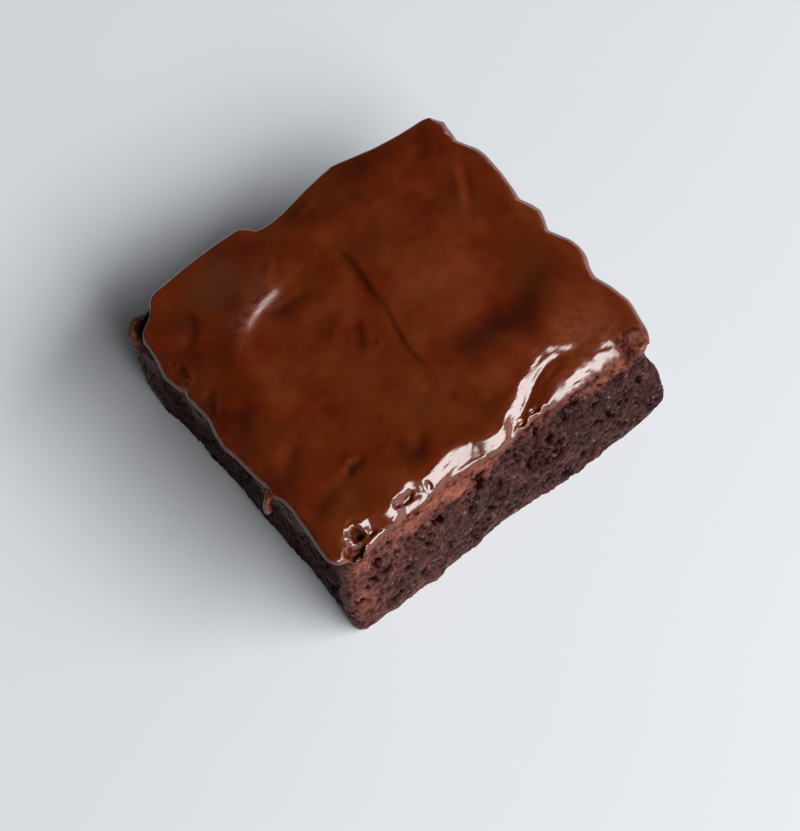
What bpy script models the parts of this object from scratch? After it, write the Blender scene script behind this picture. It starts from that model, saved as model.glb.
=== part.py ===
"""Chocolate brownie: a cut square of baked sponge under a poured layer of glossy chocolate icing.

Metres, +Z up. The origin is at the middle of the base. +X runs along the front cut edge, and the
front face looks towards -Y. The piece has two solids: the sponge, and the icing that lies on it.
"""

import math

import bmesh
import bpy
from mathutils import Vector, noise

MM = 0.001

# Driving dimensions, in millimetres.
WIDTH = 65.0  # X, over the widest bulges
DEPTH = 61.0  # Y, over the widest bulges
HEIGHT = 26.0  # base to the highest swirl
SPONGE_TOP = 23.2  # level of the sponge under the icing
GAP = 0.3  # sponge to icing
TOP_INSET = 0.4  # the sponge's sides lie this far inside the icing's rim
ICING_THICKNESS = 2.0  # away from swirls and edges
LIP_THICKNESS = 1.1  # icing at its rim
CORNER_RADIUS = 4.5  # upright corners, in plan

# Half sizes of the straight sides, before bulges and lobes.
HALF_WIDTH = 31.7
HALF_DEPTH = 29.6
ICING_FRONT_SETBACK = 2.4  # the icing stops short of the front face
RIM_BEAD = 0.35  # how far its round rim stands out

# The front shoulder, where the icing rolls over towards the cut face.
SHOULDER_REACH = 7.5
SHOULDER_DROP = 3.0
EDGE_REACH = 3.5
EDGE_DROP = 0.4

# Lobes of the icing's edge: place along the side, how far out, and half length.
BACK_LOBES = ((-14.0, 1.3, 9.0), (-3.5, -0.7, 3.0), (12.0, 1.1, 5.0), (28.0, -1.4, 5.0))
RIGHT_LOBES = ((18.0, 0.8, 3.0), (1.0, 0.5, 2.0), (-9.5, 1.0, 4.0), (-22.0, 0.6, 4.5))
LEFT_LOBES = ((19.0, 0.3, 4.0), (1.0, 0.5, 4.0), (-8.0, 0.3, 3.0), (-27.0, 0.4, 4.0))
FRONT_LOBES = ((-27.0, 1.5, 4.0), (-14.0, -1.0, 5.0), (0.0, 0.9, 4.5), (11.5, -0.9, 4.0), (30.0, 1.8, 5.0))

LOBE_REACH = 1.5  # the furthest that a lobe stands out

# Soft swirls left by the knife in the icing: a run of points, half width and height.
SWIRLS = (
    (((-6, 19), (-14, 17), (-21, 13), (-24, 5), (-25, -5)), 2.6, 0.55),
    (((-27, 12), (-28.5, 2), (-27, -8)), 2.4, -0.35),
    (((-1, 21), (6, 20.5), (13, 20)), 2.4, 0.3),
    (((28, 19), (25, 12), (22, 6)), 2.0, 0.35),
    (((2, 17), (2, 8), (1, -3), (1, -12)), 2.2, -0.3),
    (((29, -5), (22, -9.5), (13, -10.5), (4, -10)), 3.2, -0.5),
    (((-21, -17), (-15, -18), (-10, -21), (-6, -18)), 2.0, -0.35),
)
PLATEAU_CENTRE = (12.0, 0.0)
PLATEAU_REACH = 9.0
PLATEAU_RISE = 0.3

# Mesh resolution: cells across, cells deep, and layers up the edge.
COLUMNS, ROWS = 38, 36
SPONGE_LAYERS, ICING_LAYERS = 9, 4

BAKED_SPONGE = (0.066, 0.029, 0.027)  # linear red, green, blue
DARK_CHOCOLATE = (0.100, 0.015, 0.003)


def lobes(place, bumps):
    """How far the edge stands out at this place along a side."""
    return sum(out * math.exp(-(((place - middle) / half) ** 2)) for middle, out, half in bumps)


def distance_to_run(x, y, points):
    """Shortest distance in plan from (x, y) to a run of straight pieces."""
    here = Vector((x, y))
    nearest = math.inf
    for start, end in zip(points, points[1:]):
        start = Vector(start)
        along = Vector(end) - start
        share = max(0.0, min(1.0, (here - start).dot(along) / along.length_squared))
        nearest = min(nearest, (here - start - along * share).length)
    return nearest


def rounded_plan(s, t):
    """A point of the unit square as signed shares of the half sizes, with the corners rounded."""
    radius_x = CORNER_RADIUS / HALF_WIDTH
    radius_y = CORNER_RADIUS / HALF_DEPTH
    over_x = max(abs(s) - 1 + radius_x, 0.0) / radius_x
    over_y = max(abs(t) - 1 + radius_y, 0.0) / radius_y
    pull_x = over_x * (1 - math.sqrt(1 - over_y**2 / 2)) * radius_x
    pull_y = over_y * (1 - math.sqrt(1 - over_x**2 / 2)) * radius_y
    return s - math.copysign(pull_x, s), t - math.copysign(pull_y, t)


def smooth(share):
    share = max(0.0, min(1.0, share))
    return share * share * (3 - 2 * share)


def quarter_round(distance, reach, drop):
    """How far a surface has fallen at this distance from its edge."""
    share = max(0.0, 1 - max(distance, 0.0) / reach)
    return drop * (1 - math.sqrt(1 - share**2 * 0.98)) if share < 1 else drop


def sponge_level(x, y):
    """Height of the sponge's top: level in the middle, and rolled over at the edges."""
    front = quarter_round(y + HALF_DEPTH, SHOULDER_REACH, SHOULDER_DROP)
    back = quarter_round(HALF_DEPTH + LOBE_REACH - y, EDGE_REACH, EDGE_DROP)
    sides = quarter_round(HALF_WIDTH + LOBE_REACH - abs(x), EDGE_REACH, EDGE_DROP)
    return SPONGE_TOP - max(front, back, sides)


def icing_relief(x, y):
    """Swirls and the raised plateau, as height over the even layer."""
    relief = sum(
        height * math.exp(-((distance_to_run(x, y, points) / half) ** 2))
        for points, half, height in SWIRLS
    )
    from_plateau = math.hypot(x - PLATEAU_CENTRE[0], y - PLATEAU_CENTRE[1])
    relief += PLATEAU_RISE * smooth(1.5 - from_plateau / PLATEAU_REACH)
    return relief + 0.15 * noise.noise(Vector((x, y, 0)) / 7)


def sponge_side(x, y, share_up):
    """How far the cut side stands out at this height: full below the middle, drawn in at the top."""
    belly = 0.5 * math.sin(math.pi * share_up)
    foot = 0.5 * max(0.0, 1 - share_up * 8) ** 2
    lean = 1.5 * smooth((share_up - 0.25) / 0.75) * smooth((-y / HALF_DEPTH - 0.7) / 0.3)
    crumbly = 0.6 * noise.noise(Vector((x, y, share_up * SPONGE_TOP)) / 6)
    swollen = Vector((x - HALF_WIDTH, y + HALF_DEPTH - 2, (share_up - 0.45) * SPONGE_TOP))
    corner = 0.8 * math.exp(-((swollen.length / 6) ** 2))
    return belly - foot - lean + crumbly + corner - TOP_INSET


def sponge_point(s, t, share_up):
    """Place of a slab vertex on the sponge."""
    u, v = rounded_plan(s, t)
    x, y = u * HALF_WIDTH, v * HALF_DEPTH
    outward = sponge_side(x, y, share_up)
    rim = max(abs(s), abs(t)) ** 12
    x += outward * rim * math.copysign(abs(s) ** 12, s)
    y += outward * rim * math.copysign(abs(t) ** 12, t)
    return x, y, share_up * sponge_level(x, y)


def icing_point(s, t, share_up):
    """Place of a slab vertex on the icing, whose rim is a soft round bead."""
    u, v = rounded_plan(s, t)
    bead = RIM_BEAD * math.sin(math.pi * share_up) ** 0.7 if 0 < share_up < 1 else 0.0
    x = u * HALF_WIDTH
    y = v * HALF_DEPTH + ICING_FRONT_SETBACK * (1 - v) / 2
    edge = max(abs(s), abs(t)) ** 6
    x += edge * abs(u) ** 6 * math.copysign(bead + lobes(y, RIGHT_LOBES if s > 0 else LEFT_LOBES), u)
    y += edge * abs(v) ** 6 * math.copysign(bead + lobes(x, BACK_LOBES if t > 0 else FRONT_LOBES), v)
    underside = sponge_level(x, y) + GAP
    rim = max(abs(s), abs(t)) ** 14
    thickness = (ICING_THICKNESS + icing_relief(x, y)) * (1 - rim) + LIP_THICKNESS * rim
    return x, y, underside + share_up * thickness


def slab(layers):
    """A closed slab: X and Y from -1 to 1, and Z from 0 underneath to 1 on top."""
    shape = bmesh.new()
    bmesh.ops.create_grid(shape, x_segments=COLUMNS, y_segments=ROWS, size=1.0)
    raised = bmesh.ops.extrude_face_region(shape, geom=list(shape.faces))["geom"]
    top = [part for part in raised if isinstance(part, bmesh.types.BMVert)]
    bmesh.ops.translate(shape, verts=top, vec=(0, 0, 1))
    upright = [edge for edge in shape.edges if edge.verts[0].co.z != edge.verts[1].co.z]
    bmesh.ops.subdivide_edges(shape, edges=upright, cuts=layers - 1, use_grid_fill=True)
    bmesh.ops.recalc_face_normals(shape, faces=shape.faces)
    return shape


def shaped(shape, place):
    """Moves each vertex of the slab to its place on the piece."""
    for vertex in shape.verts:
        vertex.co = Vector(place(*vertex.co))


def flatten_base(shape):
    """Makes the underside one flat face."""
    underneath = [face for face in shape.faces if all(abs(v.co.z) < 1e-6 for v in face.verts)]
    bmesh.ops.dissolve_faces(shape, faces=underneath, use_verts=False)


def fit_to_box(shapes):
    """Scales and centres all pieces together, so that the brownie has exactly its outer size."""
    for axis, size in enumerate((WIDTH, DEPTH, HEIGHT)):
        places = [vertex.co[axis] for shape in shapes for vertex in shape.verts]
        low, high = min(places), max(places)
        middle = 0.0 if axis == 2 else (low + high) / 2
        for shape in shapes:
            for vertex in shape.verts:
                vertex.co[axis] = (vertex.co[axis] - middle) * size / (high - low) * MM


def finish_material(name, colour, roughness):
    material = bpy.data.materials.new(name)
    material.use_nodes = True
    shader = material.node_tree.nodes["Principled BSDF"]
    shader.inputs["Base Color"].default_value = (*colour, 1.0)
    shader.inputs["Roughness"].default_value = roughness
    return material


def add_piece(name, shape, material):
    mesh = bpy.data.meshes.new(name)
    shape.to_mesh(mesh)
    shape.free()
    mesh.materials.append(material)
    mesh.shade_smooth()
    bpy.context.scene.collection.objects.link(bpy.data.objects.new(name, mesh))


for leftover in list(bpy.data.objects):
    bpy.data.objects.remove(leftover)

sponge = slab(SPONGE_LAYERS)
shaped(sponge, sponge_point)
flatten_base(sponge)

icing = slab(ICING_LAYERS)
shaped(icing, icing_point)

fit_to_box((sponge, icing))
add_piece("sponge", sponge, finish_material("baked_sponge", BAKED_SPONGE, 0.85))
add_piece("icing", icing, finish_material("chocolate_icing", DARK_CHOCOLATE, 0.2))
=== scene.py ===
import math
import random

import bmesh
import bpy
import numpy as np
from mathutils import Matrix, Vector, noise


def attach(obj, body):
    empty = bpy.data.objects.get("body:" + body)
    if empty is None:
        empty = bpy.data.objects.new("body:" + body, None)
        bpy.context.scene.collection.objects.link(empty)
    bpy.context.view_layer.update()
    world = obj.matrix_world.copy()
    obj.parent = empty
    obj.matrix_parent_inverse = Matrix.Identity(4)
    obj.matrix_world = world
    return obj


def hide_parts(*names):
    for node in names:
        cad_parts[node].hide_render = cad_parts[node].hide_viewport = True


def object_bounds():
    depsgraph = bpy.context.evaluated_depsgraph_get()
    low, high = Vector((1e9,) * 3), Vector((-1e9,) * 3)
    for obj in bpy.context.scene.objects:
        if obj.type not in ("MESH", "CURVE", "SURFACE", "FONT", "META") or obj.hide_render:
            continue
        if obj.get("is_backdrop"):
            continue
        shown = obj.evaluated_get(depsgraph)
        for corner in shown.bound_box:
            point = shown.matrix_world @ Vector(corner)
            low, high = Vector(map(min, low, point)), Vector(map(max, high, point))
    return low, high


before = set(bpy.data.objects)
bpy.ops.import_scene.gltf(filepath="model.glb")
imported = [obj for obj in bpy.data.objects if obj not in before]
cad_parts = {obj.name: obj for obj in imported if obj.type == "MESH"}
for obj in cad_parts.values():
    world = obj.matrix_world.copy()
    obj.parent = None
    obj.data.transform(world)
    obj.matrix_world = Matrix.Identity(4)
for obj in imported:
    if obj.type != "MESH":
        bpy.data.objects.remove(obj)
cad_low, cad_high = (Vector(corner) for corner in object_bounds())
MM = 0.001

# ---------------------------------------------------------------------------------------------
# The stage: a pale matt table, one window in front of the cut face and a little to its right,
# and a dim room around them, which the glossy top mirrors.
# ---------------------------------------------------------------------------------------------
TABLE_HALF_SIZE = 3.0
WINDOW_SIZE = (1.9, 0.72)
WINDOW_DISTANCE = 1.5
WINDOW_TURN = math.radians(25)  # to the right of straight ahead of the cut face
WINDOW_RISE = math.radians(38)
WINDOW_WATTS = 43.0
LEFT_WALL, RIGHT_WALL = 0.18, 1.6  # brightness of the room on each side
WALL_TOP, CEILING_FROM = 0.1, 0.3  # upward shares of a view at which the wall ends and the dark begins
CLOUD_SIZE = 125  # millimetres between the table's faint clouds


def linear(hex_colour):
    """An sRGB hex colour as the linear colour that a shader takes."""
    channels = [int(hex_colour[i : i + 2], 16) / 255 for i in (1, 3, 5)]
    return (*(c / 12.92 if c <= 0.04045 else ((c + 0.055) / 1.055) ** 2.4 for c in channels), 1.0)


def add_node(tree, kind, sockets=(), **settings):
    """Adds a node with its settings. A socket, by name or number, takes a link or a value."""
    node = tree.nodes.new(kind)
    for name, value in settings.items():
        setattr(node, name, value)
    for socket, value in dict(sockets).items():
        if isinstance(value, bpy.types.NodeSocket):
            tree.links.new(value, node.inputs[socket])
        else:
            node.inputs[socket].default_value = value
    return node


def scale_of(size):
    """A texture's scale for a pattern of that real size in millimetres."""
    return 1 / (size * MM)


def empty_material(name):
    """A material whose node tree is still to be filled."""
    material = bpy.data.materials.new(name)
    material.use_nodes = True
    material.node_tree.nodes.clear()
    return material


def add_piece(name, shape, material):
    """Turns a bmesh into an object at the origin."""
    mesh = bpy.data.meshes.new(name)
    shape.to_mesh(mesh)
    shape.free()
    mesh.materials.append(material)
    mesh.shade_smooth()
    piece = bpy.data.objects.new(name, mesh)
    bpy.context.scene.collection.objects.link(piece)
    return piece


# White melamine laminate, pressed matt: the eye gets an even, cool white. Its clouding is too faint to
# be seen as a pattern.
laminate = empty_material("white_laminate")
tree = laminate.node_tree
spot = add_node(tree, "ShaderNodeTexCoord").outputs["Object"]
clouding = add_node(
    tree, "ShaderNodeTexNoise", {"Vector": spot, "Scale": scale_of(CLOUD_SIZE), "Detail": 2.0}
)
white = add_node(
    tree,
    "ShaderNodeMix",
    {0: clouding.outputs["Fac"], 6: linear("#dfe5eb"), 7: linear("#e3e8ee")},
    data_type="RGBA",
)
finish = add_node(
    tree, "ShaderNodeBsdfPrincipled", {"Base Color": white.outputs[2], "Roughness": 0.6}
)
add_node(tree, "ShaderNodeOutputMaterial", {"Surface": finish.outputs[0]})

table_top = bmesh.new()
bmesh.ops.create_grid(table_top, x_segments=1, y_segments=1, size=TABLE_HALF_SIZE)
bmesh.ops.translate(table_top, verts=table_top.verts, vec=(0, 0, cad_low.z))
table = add_piece("table", table_top, laminate)
table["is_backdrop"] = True

# The window.
towards_window = Vector((
    math.cos(WINDOW_RISE) * math.sin(WINDOW_TURN),
    -math.cos(WINDOW_RISE) * math.cos(WINDOW_TURN),
    math.sin(WINDOW_RISE),
))
window_light = bpy.data.lights.new("window", "AREA")
window_light.shape = "RECTANGLE"
window_light.size, window_light.size_y = WINDOW_SIZE
window_light.energy = WINDOW_WATTS
window_light.color = (1.0, 0.985, 0.97)
window = bpy.data.objects.new("window", window_light)
window.location = towards_window * WINDOW_DISTANCE
window.rotation_euler = towards_window.to_track_quat("Z", "Y").to_euler()
bpy.context.scene.collection.objects.link(window)

# The room: a bright band of wall near the horizon, brighter to the right, and nearly dark overhead.
room = bpy.data.worlds.new("room")
bpy.context.scene.world = room
room.use_nodes = True
tree = room.node_tree
tree.nodes.clear()
direction = add_node(tree, "ShaderNodeTexCoord").outputs["Generated"]
parts = add_node(tree, "ShaderNodeSeparateXYZ", {0: direction})
to_right = add_node(
    tree,
    "ShaderNodeMapRange",
    {"Value": parts.outputs["X"], 1: -1.0, 2: 1.0, 3: LEFT_WALL, 4: RIGHT_WALL},
)
walls = add_node(tree, "ShaderNodeValToRGB", {"Fac": parts.outputs["Z"]})
walls.color_ramp.elements[0].position = WALL_TOP
walls.color_ramp.elements[0].color = (1.0, 1.0, 1.04, 1)
walls.color_ramp.elements[1].position = CEILING_FROM
walls.color_ramp.elements[1].color = (0.02, 0.02, 0.021, 1)
sky = add_node(
    tree, "ShaderNodeBackground", {"Color": walls.outputs["Color"], "Strength": to_right.outputs[0]}
)
add_node(tree, "ShaderNodeOutputWorld", {"Surface": sky.outputs[0]})

# The camera looks down steeply on the front left corner, and leans a little.
CAMERA_TURN = math.radians(-27.1)
CAMERA_RISE = math.radians(62.3)
CAMERA_LEAN = math.radians(-11.6)
CAMERA_DISTANCE = 0.3261
CAMERA_AIM = Vector((-2.31, -2.89, 0.0)) * MM
backward = Vector((
    math.cos(CAMERA_RISE) * math.sin(CAMERA_TURN),
    -math.cos(CAMERA_RISE) * math.cos(CAMERA_TURN),
    math.sin(CAMERA_RISE),
))
level_right = Vector((0, 0, 1)).cross(backward).normalized()
level_up = backward.cross(level_right)
right = level_right * math.cos(CAMERA_LEAN) + level_up * math.sin(CAMERA_LEAN)
up = level_up * math.cos(CAMERA_LEAN) - level_right * math.sin(CAMERA_LEAN)
camera_data = bpy.data.cameras.new("camera")
camera_data.lens = 82.1
camera_data.sensor_width = 36.0
camera_data.clip_start = 0.01
camera = bpy.data.objects.new("camera", camera_data)
bpy.context.scene.collection.objects.link(camera)
axes = Matrix((right, up, backward)).transposed().to_4x4()
camera.matrix_world = Matrix.Translation(CAMERA_AIM + backward * CAMERA_DISTANCE) @ axes
bpy.context.scene.camera = camera
bpy.context.scene.view_settings.view_transform = "Standard"

# ---------------------------------------------------------------------------------------------
# The icing: dark chocolate ganache, poured on warm and swept about with a knife. It is one layer over
# the whole top, with curls and creases, a soft bead for a rim on three sides, and a shoulder of two
# sheets that roll down over the front edge.
# ---------------------------------------------------------------------------------------------
# The rim of the layer, in millimetres: how far out it is along each side.
RIGHT_RIM = (
    (-31, 31.8), (-28, 31.8), (-25.5, 32.3), (-23, 32.9), (-21.5, 33.1), (-18, 32.5), (-15, 31.5),
    (-13, 32.0), (-11, 33.0), (-9, 33.3), (-7, 33.0), (-5, 32.1), (-3, 31.3), (-1, 32.3), (1, 33.0),
    (3, 32.7), (5.5, 31.8), (8, 32.3), (12, 32.8), (17, 33.1), (19, 32.9), (21, 32.0), (23, 31.1),
    (25, 31.8), (28, 31.4),
)
LEFT_RIM = (
    (-30, 31.9), (-26, 31.8), (-22, 31.4), (-17, 31.1), (-13, 31.5), (-9, 32.2), (-4, 32.6),
    (-1, 33.1), (2, 32.8), (5, 32.1), (9, 32.4), (13, 32.7), (16, 33.3), (19, 32.6), (22, 32.3), (28, 32.4),
)
BACK_RIM = (
    (-32, 30.0), (-24, 30.4), (-18, 31.0), (-12, 31.2), (-8, 31.1), (-6.9, 30.4), (-5.8, 28.8),
    (-3, 28.5), (0, 28.9), (5, 29.9), (9, 30.6), (12, 31.1), (15, 30.5), (20, 29.2), (25, 28.6), (32, 28.2),
)
FRONT_RIM = (
    (-32, 28.9), (-28, 29.2), (-25, 28.9), (-21, 28.4), (-17.5, 28.4), (-14, 28.2), (-11, 27.9),
    (-7.5, 27.9), (-4, 28.2), (0, 29.0), (3, 28.7), (5, 28.1), (9, 27.8), (12, 28.1), (17, 28.5),
    (21, 28.9), (24, 29.1), (27, 29.4), (32, 29.9),
)
CORNER_RADII = {(-1, 1): 7.0, (1, 1): 3.0, (-1, -1): 2.6, (1, -1): 3.6}
TOP = cad_high.z / MM - 0.75  # level of the calm icing, with the curls above it
HALF_WIDTH = cad_high.x / MM
HALF_DEPTH = cad_high.y / MM
# Nicks and tags of the rim: place, push and reach.
RIM_TAGS = (
    ((-30.4, 28.2), (1.5, -1.5), 3.2), ((-28.2, 27.0), (0.3, -0.5), 0.8),
    ((31.6, 25.4), (0.4, 0.3), 0.8), ((31.0, 23.2), (-0.5, -0.1), 0.9),
    ((-32.2, 11.5), (0.5, 0.0), 0.7), ((-31.8, -12.6), (-0.7, 0.0), 1.0),
)

# Marks of the knife: a run of points, half widths on its left and its right, and height, below
# nought for a groove.
MARKS = (
    # the curl that catches the light, and the long ring that it starts
    (((-19.6, 12.8), (-17.6, 14.8), (-14.2, 16.3), (-11.0, 17.1), (-7.8, 17.4)), 4.5, 1.2, 0.86),
    (((-18.5, 13.5), (-21.6, 10.0), (-22.8, 5.0), (-22.9, 0.0), (-23.6, -4.5)), 3.0, 3.6, 0.5),
    (((-10.6, 18.4), (-9.0, 20.4), (-6.6, 22.8)), 0.9, 0.8, 0.22),
    (((-13.8, 14.7), (-11.6, 13.6), (-8.0, 13.8), (-5.5, 12.5)), 0.9, 1.6, -0.28),
    # the swelling in the back left corner, and the hollow round it
    (((-24.6, 25.0), (-24.2, 21.5), (-25.8, 18.6), (-29.2, 17.6)), 1.0, 1.2, -0.35),
    (((-26.5, 4.5), (-28.5, 1.5), (-30.5, -2.5)), 2.0, 2.4, -0.35),
    # folds at the left rim
    (((-31.6, 11.2), (-30.0, 12.6), (-29.4, 15.4)), 0.5, 0.5, 0.26),
    (((-30.7, 4.2), (-29.3, 6.5)), 0.5, 0.5, 0.3),
    (((-30.6, 7.4), (-28.6, 8.8)), 0.7, 0.7, -0.25),
    # the back
    (((-4.0, 20.5), (2.0, 21.5), (8.0, 20.6), (13.0, 20.8)), 2.6, 2.6, 0.28),
    (((0.5, 26.0), (3.2, 26.7), (5.5, 27.6)), 0.7, 0.7, 0.2),
    (((23.0, 23.8), (26.0, 22.4), (29.0, 22.0)), 1.6, 1.6, -0.3),
    (((27.6, 17.8), (25.7, 14.0), (22.8, 9.0)), 0.9, 1.0, 0.25),
    (((28.6, 16.8), (26.8, 13.0), (24.6, 9.0)), 0.9, 1.1, -0.25),
    # the crease up the middle, and the step of the smooth patch
    (((1.9, 17.6), (2.3, 14.0), (2.2, 10.5), (1.6, 7.0), (0.8, 3.6)), 0.7, 1.2, -0.3),
    (((2.6, 3.0), (1.6, -1.0), (0.7, -5.0), (0.5, -9.0), (1.4, -13.0)), 0.8, 0.7, 0.14),
    (((3.0, 8.0), (12.0, 9.0), (21.0, 7.0)), 6.0, 8.5, 0.5),
    # the small fold left of the crease
    (((-8.6, 2.8), (-6.4, 4.6), (-4.4, 5.6)), 1.0, 1.4, 0.25),
    (((-3.4, 4.6), (-4.4, 1.8), (-6.2, -1.4)), 0.9, 1.0, -0.4),
    # the long ridge along the front of the patch; its far side is in shade
    (
        (
            (0.5, -15.4), (4.0, -14.8), (9.0, -14.7), (15.0, -15.4), (20.0, -15.2), (25.0, -11.6),
            (30.5, -6.5),
        ),
        3.5, 5.5, 0.85,
    ),
    (((3.0, -9.6), (12.0, -9.4), (20.0, -9.4), (25.0, -6.0)), 2.2, 2.4, -0.22),
    # grooves on the left and in front
    (((-21.8, -17.8), (-19.6, -16.8), (-16.8, -16.8)), 0.8, 0.9, -0.45),
    (((-14.4, -17.4), (-12.8, -19.8), (-10.6, -21.2), (-8.8, -20.0), (-7.6, -17.4)), 1.3, 1.3, -0.45),
    (((-16.8, -4.0), (-17.0, -8.0), (-15.6, -11.0)), 1.5, 1.5, -0.3),
    (((-23.6, -7.4), (-26.6, -9.4), (-29.4, -13.4)), 1.5, 1.5, -0.42),
    (((-23.0, -17.6), (-26.5, -18.6), (-30.0, -20.5)), 1.5, 1.7, -0.35),
    (((-2.6, -12.6), (-1.0, -15.6), (0.8, -18.2)), 1.2, 1.2, -0.35),
    (((3.0, -21.6), (5.4, -21.4)), 1.2, 1.2, -0.2),
)
# The step up from the crease to the smooth patch on the right.
STEP_LINE = ((18, 2.5), (12, 2.8), (7, 2.1), (3, 1.9), (-1, 1.1), (-5, 0.1), (-9, -0.1), (-13, 0.9))
STEP_RISE, STEP_WIDTH, STEP_REACH = 0.3, 1.0, 12.0
PIMPLES = 26  # specks and tiny bubbles under the skin, scattered anywhere
# Burst bubbles and hollows: place, half sizes and depth, below nought for a blister.
HOLLOWS = (
    (-25.5, -25.9, 1.2, 1.0, 1.9), (-27.6, -28.3, 1.6, 1.0, 2.4), (-23.6, -27.3, 0.7, 0.5, 0.5),
    (-16.7, -26.1, 2.1, 0.7, 0.9), (-11.9, -26.4, 0.5, 1.0, 0.35), (6.0, -27.4, 0.9, 0.4, 0.7),
    (8.8, -26.9, 0.9, 0.45, 0.9), (10.6, -27.6, 0.5, 0.35, 0.5),
    (2.6, -29.2, 0.7, 0.4, 0.8), (-2.0, -28.3, 0.6, 0.3, 0.4), (-9.6, -27.6, 0.7, 0.3, 0.5),
    (4.4, -28.4, 0.6, 0.4, 0.5), (-28.2, 21.4, 2.6, 2.6, -0.4), (-3.0, -2.0, 0.5, 0.5, -0.22),
    (12.0, 19.6, 0.9, 0.7, -0.16), (8.0, 18.2, 0.6, 0.5, -0.08), (13.2, 11.4, 0.6, 0.5, -0.06),
    (-31.0, 14.8, 1.0, 2.2, 0.25), (-19.3, -15.3, 0.7, 0.5, -0.16),
)
# The shoulder: where the upper sheet, and the lower one in front of it, begin to bend down.
UPPER_CREST = (
    (-32, -28.2), (-30, -27.4), (-28.5, -25.4), (-27, -23.8), (-25.3, -22.9), (-23, -23.6), (-21, -24.8),
    (-19.5, -25.4), (-18, -24.6), (-16.3, -23.6), (-14.3, -23.2), (-12.5, -24.2), (-11, -24.2), (-9, -23.8),
    (-6.5, -23.5), (-4, -23.7), (-2.4, -24.3), (-1.0, -25.0), (0, -25.4), (1.4, -25.4), (2.8, -25.1),
    (3.8, -24.4), (5, -23.7), (6.5, -22.9), (9, -21.6), (12, -20.4), (15, -19.7), (17.5, -19.7),
    (19.5, -21.0), (22, -22.6), (26, -23.6), (28, -25.6), (32, -27.0),
)
# How a sheet bends: distance from its crest, and slope in degrees.
SHEET_BEND = ((0, 0), (1.3, 29), (3.0, 44), (3.7, 70), (4.2, 76))
# How wide that bend is along the front, as a share.
UPPER_WIDTH = ((-32, 1.0), (3, 1.0), (6, 1.35), (14, 1.3), (19, 1.0), (32, 1.0))
LOWER_CREST = (
    (-32, -28.8), (-26, -28.2), (-24, -27.7), (-21, -27.3), (-19, -27.2), (-17, -27.1), (-14, -26.9),
    (-11, -26.6), (-8, -26.5), (-5, -26.8), (-2, -27.6), (1, -28.2), (3, -28.0), (5, -27.2), (8, -27.0),
    (11, -26.3), (13, -25.4), (16, -24.1), (19, -23.3), (23, -23.1), (26.2, -23.8), (27.4, -26.6),
    (28.6, -28.6), (32, -30.2),
)
LOWER_LEVEL = (  # below the top
    (-32, -1.7), (-20, -1.95), (2, -1.9), (6, -1.7), (10, -1.35), (16, -1.0), (22, -0.8), (26, -1.2),
    (32, -1.8),
)
LOWER_WIDTH = (
    (-32, 0.32), (4, 0.34), (9, 0.55), (12, 0.95), (16, 1.55), (20, 2.1), (24, 2.2), (27, 1.2),
    (32, 0.8),
)
SHEET_BLEND = 0.25  # how far the corner between the two sheets is filled
FRONT_RIGHT_SAG = 1.0
# Brush marks on the shoulder, which split its reflections.
SHOULDER_MARKS = (
    (
        ((4.6, -26.9), (8.3, -25.3), (10.9, -24.0), (13.1, -22.7), (15.5, -21.9), (18.2, -21.6)),
        0.3, 0.3, -0.13,
    ),
    (((-3.9, -26.6), (-2.2, -25.4)), 0.22, 0.22, -0.08),
    (((-9.5, -26.3), (-6.5, -26.0), (-3.5, -26.6)), 0.3, 0.3, -0.08),
    (((15.5, -27.0), (18.5, -26.8), (22.0, -27.6)), 0.5, 0.5, -0.14),
    (((18.0, -28.2), (20.5, -27.9), (23.5, -28.6)), 0.4, 0.4, -0.1),
)
# The bead of the rim: how far in it begins to bend down, the dip behind it, and the edge below it.
RIM_ROLL, RIGHT_RIM_ROLL, FRONT_RIM_ROLL, FRONT_RIM_DROP = 1.2, 2.1, 0.6, 0.6
NEARLY_UPRIGHT = 0.97  # a bend stops just short of upright
RIM_DIP, RIM_DIP_WIDTH = 0.16, 0.9
EDGE_HEIGHT, EDGE_TUCK, EDGE_BULGE = 0.9, 0.9, 0.12
UNDERSIDE = -2.0  # from the top
FRONT_RAGGEDNESS = 0.25
HOLLOW_LIP = 0.12  # height of the lip round a burst bubble, as a share of its depth

ICING_CELLS = (118, 110)  # cells of the underside; the top has twice as many each way
RIM_LAYERS = 6


def eased(place, points, ease=0.45):
    """Height of a smooth line through the points, at each place."""
    places, heights = zip(*sorted(points))
    offsets = np.linspace(-1.5, 1.5, 7)
    weights = np.exp(-(offsets**2))
    lines = [w * np.interp(place + o * ease, places, heights) for o, w in zip(offsets, weights)]
    return sum(lines) / weights.sum()


def curve_through(points, pieces=6):
    """Points of a smooth curve through a few given ones."""
    ends = [2 * Vector(points[0]) - Vector(points[1]), 2 * Vector(points[-1]) - Vector(points[-2])]
    knots = [ends[0], *map(Vector, points), ends[1]]
    curve = []
    for a, b, c, d in zip(knots, knots[1:], knots[2:], knots[3:]):
        for t in (piece / pieces for piece in range(pieces)):
            bend, twist = 2 * a - 5 * b + 4 * c - d, 3 * b - a - 3 * c + d
            curve.append(0.5 * (2 * b + (c - a) * t + bend * t**2 + twist * t**3))
    return [*curve, knots[-2]]


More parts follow.
